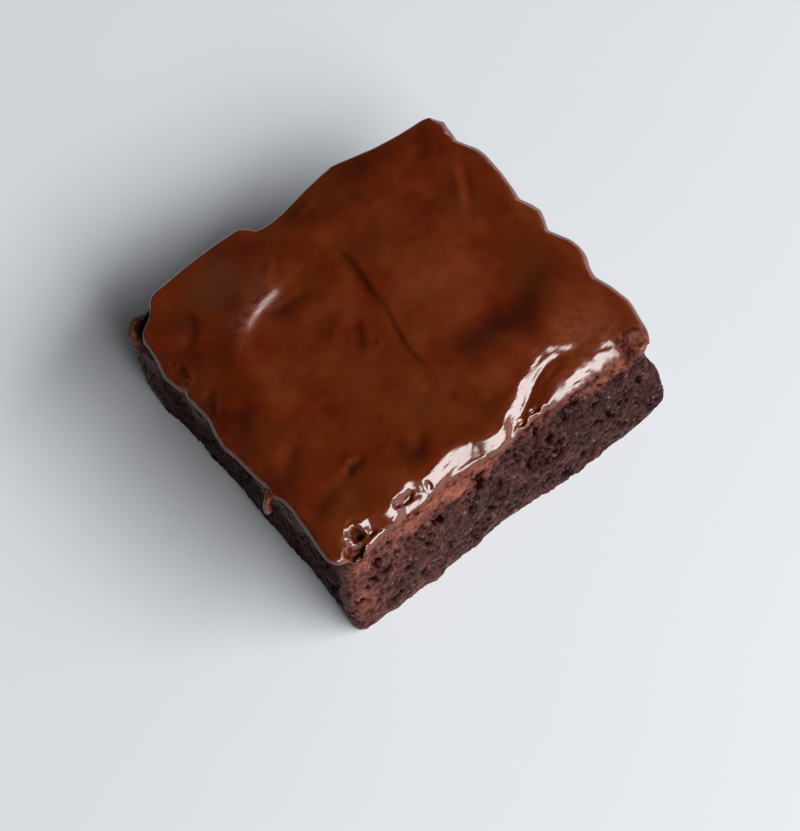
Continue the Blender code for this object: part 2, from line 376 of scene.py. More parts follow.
def near_curve(x, y, points):
    """Distance of each place from a curve, the share of its length there, and whether on its left."""
    curve = curve_through(points)
    lengths = [(b - a).length for a, b in zip(curve, curve[1:])]
    nearest = np.full_like(x, np.inf)
    share = np.zeros_like(x)
    on_left = np.zeros(x.shape, bool)
    passed = 0.0
    for a, b, length in zip(curve, curve[1:], lengths):
        step_x, step_y = b - a
        along = np.clip(((x - a.x) * step_x + (y - a.y) * step_y) / length**2, 0, 1)
        off_x, off_y = x - a.x - along * step_x, y - a.y - along * step_y
        away = np.hypot(off_x, off_y)
        closer = away < nearest
        share[closer] = (passed + along * length)[closer] / sum(lengths)
        on_left[closer] = (step_x * off_y - step_y * off_x)[closer] > 0
        nearest = np.minimum(nearest, away)
        passed += length
    return nearest, share, on_left


def smooth(share):
    """Eases a share in and out, from 0 to 1."""
    share = np.clip(share, 0, 1)
    return share * share * (3 - 2 * share)


def marked(x, y, marks):
    """Height of all the marks at each place. A mark fades in and out along its run."""
    height = np.zeros_like(x)
    for points, half_left, half_right, rise_of_mark in marks:
        away, share, on_left = near_curve(x, y, points)
        fade = 0.2 + 0.8 * smooth(share / 0.25) * smooth((1 - share) / 0.25)
        half = np.where(on_left, half_left, half_right)
        height += rise_of_mark * fade * np.exp(-((away / half) ** 2))
    return height


def drop_of(distance, bend):
    """How far a sheet has come down at each distance from its crest."""
    steps = np.linspace(0, bend[-1][0], 80)
    slopes = np.tan(np.radians(np.interp(steps, *zip(*bend))))
    drops = np.concatenate([[0], np.cumsum((slopes[1:] + slopes[:-1]) / 2 * np.diff(steps))])
    beyond = np.clip(distance - steps[-1], 0, None)
    return np.interp(distance, steps, drops) + beyond * slopes[-1]


def soft_higher(a, b, blend):
    """The higher of two surfaces, with the corner between them filled."""
    share = np.clip(0.5 + 0.5 * (a - b) / blend, 0, 1)
    return b + (a - b) * share + blend * share * (1 - share)


def drift(x, y, z, scale, seed=0.0):
    """Smooth random waves of that size in millimetres, from -1 to 1."""
    turned = np.stack([x, y, np.broadcast_to(z, x.shape)], 1) / scale + seed
    return np.array([noise.noise(Vector(point)) for point in turned.tolist()]) * 1.6


def icing_top(x, y):
    """Height of the icing's top at each place."""
    relief = marked(x, y, MARKS)
    past_step = x - eased(y, STEP_LINE)
    step = smooth(past_step / STEP_WIDTH + 0.5) * np.exp(-((past_step / STEP_REACH) ** 2))
    relief += STEP_RISE * step * smooth((y + 15) / 6) * smooth((20 - y) / 8)
    relief += 0.2 * drift(x, y, 0.0, 9.0) + 0.05 * drift(x, y, 0.0, 3.4, 7.0)
    past_crest = eased(x, UPPER_CREST) - y
    ripple = 0.07 * drift(x, y, 0.0, 1.9, 3.0) + 0.09 * drift(x / 4, past_crest, 0.0, 0.9, 13.0)
    near_front = smooth(0.5 + past_crest / 3) * smooth((-16 - y) / 4)
    upper = TOP + relief * (1 - 0.6 * near_front) + ripple * near_front
    upper_width = eased(x, UPPER_WIDTH)
    upper -= drop_of(past_crest / upper_width, SHEET_BEND) * upper_width
    upper -= FRONT_RIGHT_SAG * smooth((-12 - y) / 16) * smooth((x - 17) / 5)
    width = eased(x, LOWER_WIDTH)
    lower = TOP + eased(x, LOWER_LEVEL) + ripple
    lower -= drop_of((eased(x, LOWER_CREST) - y) / width, SHEET_BEND) * width
    surface = soft_higher(upper, lower, SHEET_BLEND) + marked(x, y, SHOULDER_MARKS)
    rng = random.Random(4)
    for _ in range(PIMPLES):
        away = np.hypot(x - rng.uniform(-28, 29), y - rng.uniform(-21, 27)) / rng.uniform(0.28, 0.5)
        surface += rng.uniform(0.04, 0.1) * np.exp(-(away**2))
    ragged = 0.4 * drift(x, y, 0.0, 1.1, 11.0)
    for middle_x, middle_y, half_x, half_y, depth in HOLLOWS:
        away = np.hypot((x - middle_x) / half_x, (y - middle_y) / half_y)
        if depth > 0:
            away += ragged
            surface += HOLLOW_LIP * depth * np.exp(-(((away - 1.3) / 0.3) ** 2)) * (1 + 2 * ragged)
        surface -= depth * (np.clip(1 - away**2, 0, 1) ** 0.6 if depth > 0 else np.exp(-(away**2)))
    return surface


def plan_of(s, t, corner_radii=CORNER_RADII):
    """Shares of the half sizes for a place on the unit square, with the corners rounded."""
    u, v = s.copy(), t.copy()
    for (side_x, side_y), radius in corner_radii.items():
        inner_x, inner_y = 1 - radius / HALF_WIDTH, 1 - radius / HALF_DEPTH
        here = (s * side_x > inner_x) & (t * side_y > inner_y)
        over_x = (s[here] * side_x - inner_x) / (1 - inner_x)
        over_y = (t[here] * side_y - inner_y) / (1 - inner_y)
        u[here] = side_x * (inner_x + (1 - inner_x) * over_x * np.sqrt(1 - over_y**2 / 2))
        v[here] = side_y * (inner_y + (1 - inner_y) * over_y * np.sqrt(1 - over_x**2 / 2))
    return u, v


def slab(cells, layers, fine_faces):
    """A closed slab: X and Y from -1 to 1, Z from 0 to 1, with the chosen faces cut in four."""
    shape = bmesh.new()
    bmesh.ops.create_grid(shape, x_segments=cells[0], y_segments=cells[1], size=1.0)
    raised = bmesh.ops.extrude_face_region(shape, geom=list(shape.faces))["geom"]
    lifted = [part for part in raised if isinstance(part, bmesh.types.BMVert)]
    bmesh.ops.translate(shape, verts=lifted, vec=(0, 0, 1))
    upright = [edge for edge in shape.edges if edge.verts[0].co.z != edge.verts[1].co.z]
    bmesh.ops.subdivide_edges(shape, edges=upright, cuts=layers - 1, use_grid_fill=True)
    chosen = [edge for edge in shape.edges if any(fine_faces(face) for face in edge.link_faces)]
    bmesh.ops.subdivide_edges(shape, edges=chosen, cuts=1, use_grid_fill=True)
    bmesh.ops.recalc_face_normals(shape, faces=shape.faces)
    return shape


def read_points(mesh):
    """The places of the vertices, one row each."""
    values = np.empty(len(mesh.vertices) * 3)
    mesh.vertices.foreach_get("co", values)
    return values.reshape(-1, 3)


def write_points(mesh, points):
    """Moves the vertices to places in millimetres."""
    mesh.vertices.foreach_set("co", (points * MM).ravel())
    mesh.update()


def paint(mesh, name, values):
    """Keeps one number for each vertex, for the material to read."""
    attribute = mesh.attributes.new(name, "FLOAT", "POINT")
    attribute.data.foreach_set("value", values.astype(np.float32))


icing_material = empty_material("chocolate_ganache")
icing_slab = slab(ICING_CELLS, RIM_LAYERS, lambda face: face.calc_center_median().z > 0.999)
icing = add_piece("icing_layer", icing_slab, icing_material)
s, t, rise = read_points(icing.data).T
u, v = plan_of(s, t)


def rim_push(x, y):
    """How far nicks and tags push the rim, each way."""
    push = np.zeros((2, len(x)))
    for (tag_x, tag_y), (push_x, push_y), reach in RIM_TAGS:
        strength = np.exp(-(((x - tag_x) ** 2 + (y - tag_y) ** 2) / reach**2))
        push += np.array([push_x, push_y])[:, None] * strength
    return push


def spread(share, low_side, high_side):
    """From a share of the half size to a place between two sides."""
    return np.where(share < 0, share * low_side, share * high_side)


x, y = u * HALF_WIDTH, v * HALF_DEPTH
x, y = (
    spread(u, eased(y, LEFT_RIM), eased(y, RIGHT_RIM)),
    spread(v, eased(x, FRONT_RIM), eased(x, BACK_RIM)),
)
push = rim_push(x, y)
x, y = x + push[0], y + push[1]
at_front = np.clip((np.abs(t) - 0.96) / 0.04, 0, 1) * (t < 0)
y += FRONT_RAGGEDNESS * drift(x, y, 0.0, 1.6, 5.0) * at_front

# The rim bends down in a quarter circle, and the edge below it turns in under the layer.
from_side = (1 - np.abs(s)) * HALF_WIDTH
from_back = (1 - t) * HALF_DEPTH
from_front = (1 + t) * HALF_DEPTH
to_rim = np.minimum(from_side, from_back)
roll = np.where((s > 0) & (from_side < from_back), RIGHT_RIM_ROLL, RIM_ROLL)
near = np.clip(1 - to_rim / roll, 0, 1)
fall = RIM_ROLL * (1 - np.sqrt(1 - NEARLY_UPRIGHT * near**2))
fall -= RIM_DIP * np.exp(-(((to_rim - roll) / RIM_DIP_WIDTH) ** 2))
near_front = np.clip(1 - from_front / FRONT_RIM_ROLL, 0, 1)
fall = np.maximum(fall, FRONT_RIM_DROP * (1 - np.sqrt(1 - NEARLY_UPRIGHT * near_front**2)))
surface = icing_top(x, y) - fall
tuck = np.where(rise < 1, 1 - rise, 0)
points = np.stack([x, y, surface - EDGE_HEIGHT * tuck], 1)
rim = np.maximum(np.abs(s), np.abs(t)) > 0.9999
inward = EDGE_TUCK * tuck**2 - EDGE_BULGE * np.sin(np.pi * tuck)
points[rim, 0] -= (u * inward)[rim]
points[rim, 1] -= (v * inward)[rim]
under = (rise == 0) & ~rim
points[under, 2] = np.minimum(points[under, 2], TOP + UNDERSIDE)
write_points(icing.data, points)

# Painted light and shade on the icing, along its relief: paler on the slopes that face the light and round
# its reflections, and, below nought, painted shade in its hollows, grooves and burst bubbles, and on the
# slopes turned away.
PAINTED_LIGHT_AND_SHADE = (
    (((4, -3), (12, -2), (20, -1)), 6.5, 6.5, 0.75),
    (((4, 4), (12, 5), (20, 5)), 5.0, 5.0, 0.35),
    (((1, -7), (4, -7)), 3.0, 3.0, 0.35),
    (((18, -19), (24, -21), (29, -24)), 5.0, 5.0, 0.9),
    (((-10, -3), (-9, -12), (-3, -15)), 5.0, 5.0, 0.42),
    (((-20, 8), (-21, 2), (-18, -4)), 3.0, 3.0, 0.4),
    (((-3, 12), (0, 8)), 3.0, 3.0, 0.45),
    (((3, -19), (10, -18)), 3.0, 3.0, 0.6),
    (((-12, 4), (-14, 9)), 3.5, 3.5, 0.3),
    (((4, -12.4), (12, -12.2), (20, -12.6), (27, -7)), 3.0, 2.6, -1.05),
    (((-31, 24), (-29, 12), (-29, 0), (-31, -10)), 4.5, 4.5, -0.8),
    (((-27, -8), (-30, -14)), 2.5, 2.5, -0.5),
    (((-29, -20), (-24, -18)), 2.5, 2.5, -0.5),
    (((-12.5, -19.5), (-9.5, -20.5)), 2.2, 2.2, -0.6),
    (((-20.5, -17.2), (-17.5, -16.9)), 1.2, 1.2, -0.6),
    (((24, 25), (27, 22)), 3.0, 3.0, -0.5),
    (((-2, 25), (10, 27), (20, 25)), 3.5, 3.5, -0.4),
    (((-10, 11), (-11, 14), (-7, 14)), 2.0, 2.0, -0.5),
    (((2, 16), (2, 10), (1, 5)), 0.9, 0.9, -0.8),
    (((-4, 4), (-6, -1)), 1.3, 1.3, -0.6),
    (((-17, -5), (-16.5, -10)), 1.8, 1.8, -0.4),
    (((-27, 29), (-10, 27), (8, 28), (29, 27)), 3.5, 3.5, -0.6),
    (((-22, 21), (-27, 19.5)), 3.5, 3.5, -0.8),
    (((-16, 18.6), (-9, 20)), 2.4, 2.4, 0.6),
    (((-19, 12.4), (-22, 11)), 2.2, 2.2, 0.5),
    (((13, -8), (19, -8.5), (25, -8)), 2.5, 2.5, -0.5),
    (((4, -16), (11, -16), (21, -15.5)), 2.0, 2.0, -0.55),
    (((-11.5, -21), (-9, -20)), 2.5, 2.5, -0.6),
    (((-20, -12), (-10, -12), (-4, -12)), 2.5, 2.5, -0.35),
    (((-31, 22), (-30, 8), (-30.5, -4), (-30, -20)), 2.0, 2.0, -0.45),
    (((-26, -8), (-23.5, -8)), 2.0, 2.0, -0.4),
    (((0, -4.5), (-1, 0)), 2.0, 2.0, 0.35),
    (((30.8, 14), (30.4, 2), (30.8, -12)), 1.2, 1.2, 0.5),
    (((-26.4, -26.2), (-24.8, -25.8)), 1.1, 1.1, -2.0),
    (((-28.6, -28.8), (-26.6, -28.4)), 1.3, 1.3, -2.0),
)
# Where it is thin and torn, with little gloss: the front right corner. Along the curl the same paler,
# duller skin is a painted highlight, the warm glow round the curl's reflection.
TORN_AND_PAINTED_HIGHLIGHT = (
    (((19, -18.5), (25, -21), (29, -25)), 4.0, 4.0, 0.22),
    (((26.8, -25.0), (28, -27.4), (32, -28)), 1.7, 1.7, 1.6),
    (((-20.8, 11.6), (-18.4, 14.4), (-14.6, 16.4), (-11.2, 17.4), (-8.6, 17.6)), 1.3, 1.3, 0.5),
)
# Where the gloss is soft: along the curl.
SOFT = ((((-22.0, 10.6), (-18.4, 14.2), (-14.6, 16.2), (-11.2, 17.2), (-7.6, 17.6)), 3.0, 3.0, 1.6),)
# A greyer patch near the back left corner.
GREYER_PATCH = ((((-17.0, 28.5), (-16.5, 24.0), (-15.5, 20.0)), 4.6, 4.6, 1.0),)
cloudy = 0.16 * drift(x, y, 0.0, 5.0, 17.0) + 0.09 * drift(x, y, 0.0, 2.0, 27.0)
# Random clouding, with the painted light and shade over it.
paint(icing.data, "tone_and_painted_light", np.clip(0.5 + 0.45 * marked(x, y, PAINTED_LIGHT_AND_SHADE) + cloudy, 0, 1))
low = TOP - 2.3 - points[:, 2] + 0.25 * drift(x, y, 0.0, 0.9, 37.0)
dragged_and_painted_highlight = np.maximum(smooth(low / 0.5) * smooth((-24 - y) / 2), marked(x, y, TORN_AND_PAINTED_HIGHLIGHT))
# Along the left rim the skin is dulled and painted paler: a painted reflection, the rim's bright line.
dragged_and_painted_highlight = np.maximum(dragged_and_painted_highlight, 0.5 * np.exp(-(((1 + s) * HALF_WIDTH / 0.5) ** 2)))
paint(icing.data, "dragged_and_painted_highlight", np.clip(dragged_and_painted_highlight, 0, 1))
paint(icing.data, "greyer_patch", np.clip(marked(x, y, GREYER_PATCH), 0, 1))
paint(icing.data, "soft", np.clip(marked(x, y, SOFT), 0, 1))

# Chocolate ganache, poured warm and set: the eye gets a wet gloss over a warm brown with painted light and
# shade along its relief, and a dull, crumbly skin where it has torn, which is also painted on as a
# highlight along the curl, as a reflection along the left rim and as a glint on the drip.
STREAK_SIZE, PATCH_SIZE = 6.25, 40 / 3  # millimetres, as are the other sizes of patterns
CRUMB_SIZE, CRUMB_HEIGHT = 10 / 9, 0.4
HAIR_SIZE, HAIR_HEIGHT = 1.0, 0.1  # real drag lines are finer: this is as fine as shows
HAIR_STRETCH = 0.3
GANACHE_INDEX = 1.7  # above a fat's 1.46, so that the skin mirrors the room as strongly as it should

tree = icing_material.node_tree
spot = add_node(tree, "ShaderNodeTexCoord").outputs["Object"]
tone_and_painted_light = add_node(tree, "ShaderNodeAttribute", attribute_name="tone_and_painted_light").outputs["Fac"]
greyer_patch = add_node(tree, "ShaderNodeAttribute", attribute_name="greyer_patch").outputs["Fac"]
streaks = add_node(
    tree,
    "ShaderNodeTexNoise",
    {"Vector": spot, "Scale": scale_of(STREAK_SIZE), "Detail": 4.0, "Distortion": 0.8},
)
mottle = add_node(
    tree, "ShaderNodeMapRange", {"Value": streaks.outputs["Fac"], 1: 0.25, 2: 0.75, 3: -0.1, 4: 0.1}
)
mottled = add_node(tree, "ShaderNodeMath", {0: tone_and_painted_light, 1: mottle.outputs[0]}, operation="ADD")
browns = add_node(tree, "ShaderNodeValToRGB", {"Fac": mottled.outputs[0]})
browns.color_ramp.elements[0].position = 0.0
browns.color_ramp.elements[0].color = linear("#3f0f02")
browns.color_ramp.elements[1].position = 1.0
browns.color_ramp.elements[1].color = linear("#6f3114")
middle = browns.color_ramp.elements.new(0.5)
middle.color = linear("#5a1e04")
# Patches over a centimetre wide are browner, and the rest is redder.
patches = add_node(
    tree, "ShaderNodeTexNoise", {"Vector": spot, "Scale": scale_of(PATCH_SIZE), "Detail": 2.0}
)
browner = add_node(
    tree, "ShaderNodeMapRange", {"Value": patches.outputs["Fac"], 1: 0.4, 2: 0.65, 3: 0.0, 4: 0.4}
)
uneven = add_node(
    tree,
    "ShaderNodeMix",
    {0: browner.outputs[0], 6: browns.outputs["Color"], 7: linear("#5a2a0a")},
    data_type="RGBA",
)
greyed = add_node(
    tree, "ShaderNodeMix", {0: greyer_patch, 6: uneven.outputs[2], 7: linear("#522817")}, data_type="RGBA"
)
drag_and_highlight = add_node(tree, "ShaderNodeAttribute", attribute_name="dragged_and_painted_highlight").outputs["Fac"]
crumbs = add_node(
    tree, "ShaderNodeTexNoise", {"Vector": spot, "Scale": scale_of(CRUMB_SIZE), "Detail": 4.0}
)
crumby_and_highlight = add_node(tree, "ShaderNodeValToRGB", {"Fac": crumbs.outputs["Fac"]})
crumby_and_highlight.color_ramp.elements[0].position = 0.36
crumby_and_highlight.color_ramp.elements[0].color = linear("#3b1711")
crumby_and_highlight.color_ramp.elements[1].position = 0.62
crumby_and_highlight.color_ramp.elements[1].color = linear("#754336")
# Torn skin, and the painted highlight and reflection that the same pale browns stand in for.
torn_and_highlight = add_node(
    tree,
    "ShaderNodeMix",
    {0: drag_and_highlight, 6: greyed.outputs[2], 7: crumby_and_highlight.outputs["Color"]},
    data_type="RGBA",
)
# There is no gloss where the skin is torn, less where it stands in as a painted highlight, and a softer one
# in the streaks.
glaze = add_node(tree, "ShaderNodeMapRange", {"Value": drag_and_highlight, 1: 0.0, 2: 1.0, 3: 1.0, 4: 0.0})
gloss = add_node(
    tree, "ShaderNodeMapRange", {"Value": streaks.outputs["Fac"], 1: 0.3, 2: 0.7, 3: 0.09, 4: 0.24}
)
soft = add_node(tree, "ShaderNodeAttribute", attribute_name="soft").outputs["Fac"]
softened = add_node(
    tree, "ShaderNodeMath", {0: soft, 1: 0.15, 2: gloss.outputs[0]}, operation="MULTIPLY_ADD"
)
# Hair-fine drag lines of the knife, which feather the edges of the reflections.
stretched = add_node(tree, "ShaderNodeMapping", {"Vector": spot, "Scale": (HAIR_STRETCH, 1.0, 1.0)})
hairs = add_node(
    tree,
    "ShaderNodeTexNoise",
    {"Vector": stretched.outputs[0], "Scale": scale_of(HAIR_SIZE), "Detail": 3.0},
)
feathered = add_node(
    tree,
    "ShaderNodeBump",
    {"Height": hairs.outputs["Fac"], "Strength": 0.8, "Distance": HAIR_HEIGHT * MM},
)
worn = add_node(tree, "ShaderNodeMath", {0: drag_and_highlight, 1: crumbs.outputs["Fac"]}, operation="MULTIPLY")
rough_skin = add_node(
    tree,
    "ShaderNodeBump",
    {"Height": worn.outputs[0], "Strength": 0.8, "Distance": CRUMB_HEIGHT * MM},
)
finish = add_node(
    tree,
    "ShaderNodeBsdfPrincipled",
    {
        "Base Color": torn_and_highlight.outputs[2],
        "Roughness": 0.4,
        "Specular IOR Level": 0.04,
        "Coat Weight": glaze.outputs[0],
        "Coat Roughness": softened.outputs[0],
        "Coat IOR": GANACHE_INDEX,
        "Normal": rough_skin.outputs[0],
        "Coat Normal": feathered.outputs[0],
    },
)
add_node(tree, "ShaderNodeOutputMaterial", {"Surface": finish.outputs[0]})
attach(icing, "root")
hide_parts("icing")

# ---------------------------------------------------------------------------------------------
# The drip: a small tail of icing that ran over the left rim and set, bent outwards, with a bead
# at its end. Same ganache as the layer.
# ---------------------------------------------------------------------------------------------
DRIP_PATH = ((-31.0, -11.9, 24.4), (-32.3, -12.2, 24.3), (-33.2, -12.5, 23.2), (-33.45, -12.8, 21.0))
DRIP_RADII = (1.0, 0.66, 0.5, 0.78)
DRIP_LUMPS, DRIP_LUMP_SIZE = 0.14, 0.9
# The drip is a middle brown, and its duller, paler skin is a painted glint.
DRIP_TONE, DRIP_DULLNESS_AND_GLINT = 0.5, 0.4

noise.seed_set(1)  # or the lumps would be new each run
tail = bmesh.new()
path = curve_through(DRIP_PATH, pieces=8)
bmesh.ops.create_uvsphere(tail, u_segments=24, v_segments=40, radius=1.0)
for vertex in tail.verts:
    along = min(max((1 - vertex.co.z) / 2, 0.0), 1.0) * (len(path) - 1)
    step = min(int(along), len(path) - 2)
    centre = Vector(path[step]).lerp(Vector(path[step + 1]), along - step)
    radius = float(np.interp(along / (len(path) - 1), np.linspace(0, 1, len(DRIP_RADII)), DRIP_RADII))
    # The sphere's ring is widened towards the full radius, so that the tail is as thick as its radii say.
    ring = Vector((vertex.co.x, vertex.co.y, 0))
    if ring.length > 1e-6:
        ring *= min(1.0, 1.15 * ring.length**0.35) / ring.length
    place = centre + radius * ring
    place += DRIP_LUMPS * noise.noise_vector(place / DRIP_LUMP_SIZE)
    vertex.co = place * MM
bmesh.ops.recalc_face_normals(tail, faces=tail.faces)
drip = add_piece("icing_drip", tail, icing_material)
paint(drip.data, "tone_and_painted_light", np.full(len(drip.data.vertices), DRIP_TONE))
paint(drip.data, "dragged_and_painted_highlight", np.full(len(drip.data.vertices), DRIP_DULLNESS_AND_GLINT))
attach(drip, "root")

# ---------------------------------------------------------------------------------------------
# The sponge: baked chocolate batter, cut with a knife on all four sides. The cut faces are moist
# crumb, torn into grains half a millimetre to a millimetre across, with open air pockets.
# ---------------------------------------------------------------------------------------------
# Its sides, in millimetres: how far out each is along its run.
SPONGE_RIGHT_SIDE = ((-31, 32.4), (-24, 32.2), (-10, 31.6), (10, 31.4), (22, 31.0), (30, 30.6))
SPONGE_LEFT_SIDE = ((-31, 31.6), (-20, 31.2), (-8, 31.4), (4, 31.8), (16, 32.2), (24, 33.0), (30, 33.2))
SPONGE_BACK_SIDE = (
    (-33, 29.0), (-24, 29.2), (-10, 29.6), (-4, 27.8), (4, 28.4), (12, 29.4), (22, 28.0), (32, 27.6),
)
SPONGE_FRONT_SIDE = (
    (-32, 30.6), (-26, 31.1), (-18, 31.0), (-10, 30.8), (-4, 30.4), (1, 30.1), (6, 30.6), (12, 31.0),
    (22, 31.0), (28, 30.8), (32, 30.6),
)
SPONGE_RADII = {(-1, 1): 3.0, (1, 1): 2.6, (-1, -1): 1.6, (1, -1): 2.6}
SPONGE_TOP = TOP - 1.6
SPONGE_CELLS = (114, 106)  # cells of the underside; the sides have twice as many each way
SPONGE_LAYERS = 42
SIDE_BULGE, BASE_TUCK, FRONT_LEAN = 0.35, 0.5, 2.9  # the front leans back under the icing's shoulder
CORNER_BULGE = 0.9  # of the front right corner, a third of the way up
FRONT_TOP_ROUND, TOP_ROUND = 1.6, 0.9
# The crumb: height, size and seed of its lumps, and spacing of its pores with the share that is open.
LUMPS = ((0.3, 6.0, 2.0), (0.2, 2.3, 9.0), (0.1, 0.9, 19.0))
WOBBLE = 0.18
PORE_SPACING, PORE_SHARE = 1.25, 0.4
FINE_PORE_SPACING, FINE_PORE_SHARE, FINE_PORE_DEPTH = 0.8, 0.36, 0.7
PORE_DEPTH = 0.6
POCKETS = 700
POCKET_DEPTH = 1.5  # over the smaller half size
# The largest pockets of the cut face: place along it, height, half width and half height.
FRONT_POCKETS = (
    (-13.3, 17.0, 1.5, 0.9), (9.5, 17.0, 0.9, 1.1), (21.3, 11.0, 0.9, 0.8), (1.3, 19.4, 1.1, 0.6),
    (-21.3, 17.0, 0.6, 0.6), (-18.2, 16.4, 0.6, 0.5), (-15.8, 22.3, 0.7, 0.5), (-11.8, 22.4, 0.6, 0.5),
    (-18.0, 22.4, 0.6, 0.4), (-1.8, 22.8, 0.7, 0.6), (18.8, 17.2, 0.6, 0.8), (18.3, 12.6, 0.6, 0.7),
    (24.5, 12.5, 0.6, 0.6), (6.8, 15.0, 0.7, 0.6), (5.0, 12.5, 0.5, 0.7), (-28.0, 13.4, 0.6, 0.6),
    (13.6, 20.5, 0.6, 0.5), (20.4, 20.8, 0.6, 0.8), (8.4, 9.0, 0.6, 0.6), (2.6, 8.2, 0.5, 0.7),
    (-20.3, 5.4, 0.5, 0.4), (-7.6, 4.6, 0.6, 0.7), (29.0, 7.0, 0.5, 0.8), (15.0, 24.0, 0.6, 0.7),
)


def to_nearest_pore(places, spacing, seed=0.0):
    """Distance to the nearest of many scattered pores, as a share of their spacing in millimetres."""
    scaled = (places / spacing + seed).tolist()
    return np.array([noise.voronoi(Vector(place))[0][0] for place in scaled])


sponge_material = empty_material("baked_sponge")
sponge_slab = slab(SPONGE_CELLS, SPONGE_LAYERS, lambda face: abs(face.normal.z) < 0.5)
sponge = add_piece("sponge_block", sponge_slab, sponge_material)
s, t, rise = read_points(sponge.data).T
u, v = plan_of(s, t, SPONGE_RADII)
x, y = u * HALF_WIDTH, v * HALF_DEPTH
x, y = (
    spread(u, eased(y, SPONGE_LEFT_SIDE), eased(y, SPONGE_RIGHT_SIDE)),
    spread(v, eased(x, SPONGE_FRONT_SIDE), eased(x, SPONGE_BACK_SIDE)),
)
on_side = np.maximum(np.abs(s), np.abs(t)) > 0.9999
facing_front = smooth((-v - 0.6) / 0.35)
outward = SIDE_BULGE * np.sin(np.pi * rise) - BASE_TUCK * np.clip(1 - rise * 16, 0, 1) ** 2
outward -= facing_front * FRONT_LEAN * np.clip((rise - 0.2) / 0.8, 0, 1) ** 1.4
corner_away = np.sqrt((x - 31) ** 2 + (y + 29) ** 2 + (26 * (rise - 0.36)) ** 2)
outward += CORNER_BULGE * np.exp(-((corner_away / 6) ** 2))
top_round = np.where(facing_front > 0.5, FRONT_TOP_ROUND, TOP_ROUND)
near_top = np.clip(1 - (1 - rise) * SPONGE_TOP / top_round, 0, 1)
outward -= top_round * (1 - np.sqrt(1 - NEARLY_UPRIGHT * near_top**2))
flat = np.maximum(np.abs(s), np.abs(t))
x += u * outward * flat**8
y += v * outward * flat**8
# It stays below the icing's top, except in front of the icing's edge.
z = rise * SPONGE_TOP
z = np.minimum(z, icing_top(x, y) - 0.8 + 3 * np.clip(-27.9 - y, 0, 1))
base = np.stack([x, y, z], 1)
write_points(sponge.data, base)
normals = np.array([vertex.normal for vertex in sponge.data.vertices])

# Relief of the crumb, along the surface's own direction: lumps, torn grains, open pores between
# them, and the larger pockets.
side = np.flatnonzero(on_side | (rise < 0.01))
spots = base[side]
side_x, side_y, level = spots.T
shift = np.stack([drift(*spots.T, 1.0, seed) for seed in (41.0, 43.0, 47.0)], 1)
wobbly = (spots + WOBBLE * shift) * [0.85, 0.85, 1.1]
away = to_nearest_pore(wobbly, PORE_SPACING)
pores = np.sqrt(np.clip(1 - (away / PORE_SHARE) ** 2, 0, 1))
away = to_nearest_pore(wobbly, FINE_PORE_SPACING, 6.0)
fine_pores = np.sqrt(np.clip(1 - (away / FINE_PORE_SHARE) ** 2, 0, 1))
pores = np.maximum(pores, FINE_PORE_DEPTH * fine_pores)
crowded = smooth(0.5 + 0.9 * drift(*spots.T, 4.5, 51.0))

# Where the knife has smeared the crumb shut: a wide band under the icing on the left of the cut face,
# its left edge, a narrow band all the way along, and some of the base.
on_front = smooth(-26 - side_y)
ragged_edge = 1.2 * drift(*spots.T, 2.5, 57.0)
smeared = smooth((level + ragged_edge - 17.5) / 2.5) * smooth((5 - side_x) / 4)
smeared *= 1 - 0.4 * smooth((-18 - side_x) / 6)
smeared = np.maximum(smeared, 0.55 * smooth((-24.5 - side_x + ragged_edge) / 4))
smeared = np.maximum(smeared, 0.5 * smooth((level + 1.5 * ragged_edge - 19.8) / 1.6))
smeared = np.maximum(smeared, 0.35 * smooth((4.5 - level + ragged_edge) / 3)) * on_front

# Painted shade: the left side is darker, but for its upper part and the back corner, which are smeared.
on_left = smooth((-29 - side_x) / 1.5) * (1 - on_front)
back_corner = np.exp(-(((side_x + 32) / 4) ** 2 + ((side_y - 27) / 4) ** 2))
high = smooth((level + ragged_edge - 16) / 4)
smeared = np.maximum(smeared, np.maximum(0.35 * on_left * high, back_corner * high))
left_painted_shade = 0.8 * on_left * (1 - 0.6 * high) * (1 - back_corner)

pores *= (0.45 + 0.55 * crowded) * (1 - 0.7 * smeared)
relief = sum(height * drift(*spots.T, size, seed) for height, size, seed in LUMPS)
relief -= PORE_DEPTH * pores

# The pockets, on the side that each belongs to: 0 is the front, then on round by the right.
rng = random.Random(11)
on_right_or_left = np.abs(s[side]) > np.abs(t[side])
around = np.where(on_right_or_left, np.where(s[side] > 0, 1, 3), np.where(t[side] > 0, 2, 0))
along = np.where((around == 0) | (around == 2), side_x, side_y)
pockets = [(0, *pocket) for pocket in FRONT_POCKETS]
for _ in range(POCKETS):
    face = rng.choice((0, 0, 1, 2, 3))
    size = 0.18 + 0.7 * rng.random() ** 3.5
    where, up_from = rng.uniform(-32, 32), rng.uniform(0.5, 23)
    half_w, half_h = size * rng.uniform(1, 1.7), size * rng.uniform(0.7, 1.1)
    pockets.append((face, where, up_from, half_w, half_h))
ragged = 0.35 * drift(*spots.T, 0.7, 21.0)
hollow = np.zeros(len(side))
for face, where, up_from, half_w, half_h in pockets:
    away = np.hypot((along - where) / half_w, (level - up_from) / half_h) + ragged
    inside = (around == face) & (away < 1)
    depth = POCKET_DEPTH * min(half_w, half_h) * (1 - away[inside] ** 2) ** 0.5
    hollow[inside] = np.maximum(hollow[inside], depth)
relief -= hollow
underneath = rise[side] < 0.01
relief[underneath] = np.minimum(relief[underneath] * 0.5, 0)
points = base.copy()
points[side] += normals[side] * relief[:, None]
points[:, 2] = np.clip(points[:, 2], 0, None)
write_points(sponge.data, points)


def paint_side(name, values):
    """Paints the sides, and leaves the top at nought."""
    whole = np.zeros(len(s))
    whole[side] = values
    paint(sponge.data, name, whole)


